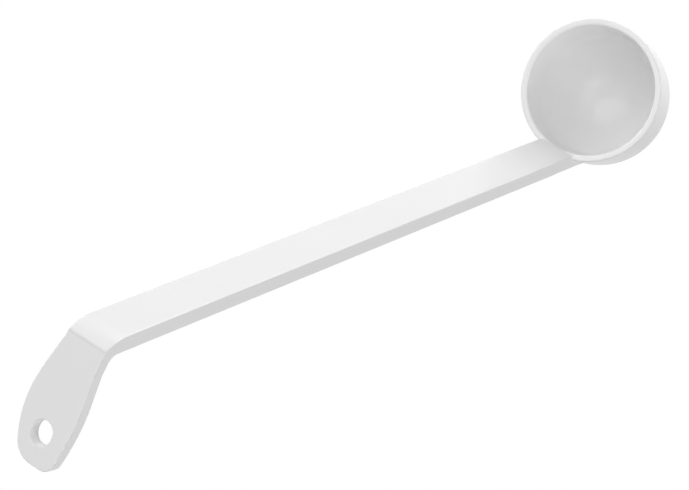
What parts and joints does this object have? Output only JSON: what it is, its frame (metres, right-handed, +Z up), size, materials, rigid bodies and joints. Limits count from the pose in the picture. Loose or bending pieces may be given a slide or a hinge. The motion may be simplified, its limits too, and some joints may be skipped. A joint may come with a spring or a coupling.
{
  "type": "ladle",
  "caption": "Small one-piece plastic ladle: a deep round bowl on a long flat strap handle that folds over into a leaf-shaped end with a hanging hole.",
  "frame": {"origin": "centre of the hanging hole, halfway through the tab's thickness", "axes": "the bowl is level: +Z up out of the bowl's mouth, +X from the bowl towards the hanging tab, +Y across the handle"},
  "size_m": [0.1779, 0.0462, 0.3116],
  "materials": {
    "bowl_plastic": "gloss",
    "rim_plastic": "gloss",
    "handle_plastic": "gloss"
  },
  "bodies": {
    "root": {"bowl": "bowl_plastic", "rim": "rim_plastic", "handle_root": "handle_plastic", "handle": "handle_plastic", "hanging_tab": "handle_plastic"}
  },
  "joints": []
}
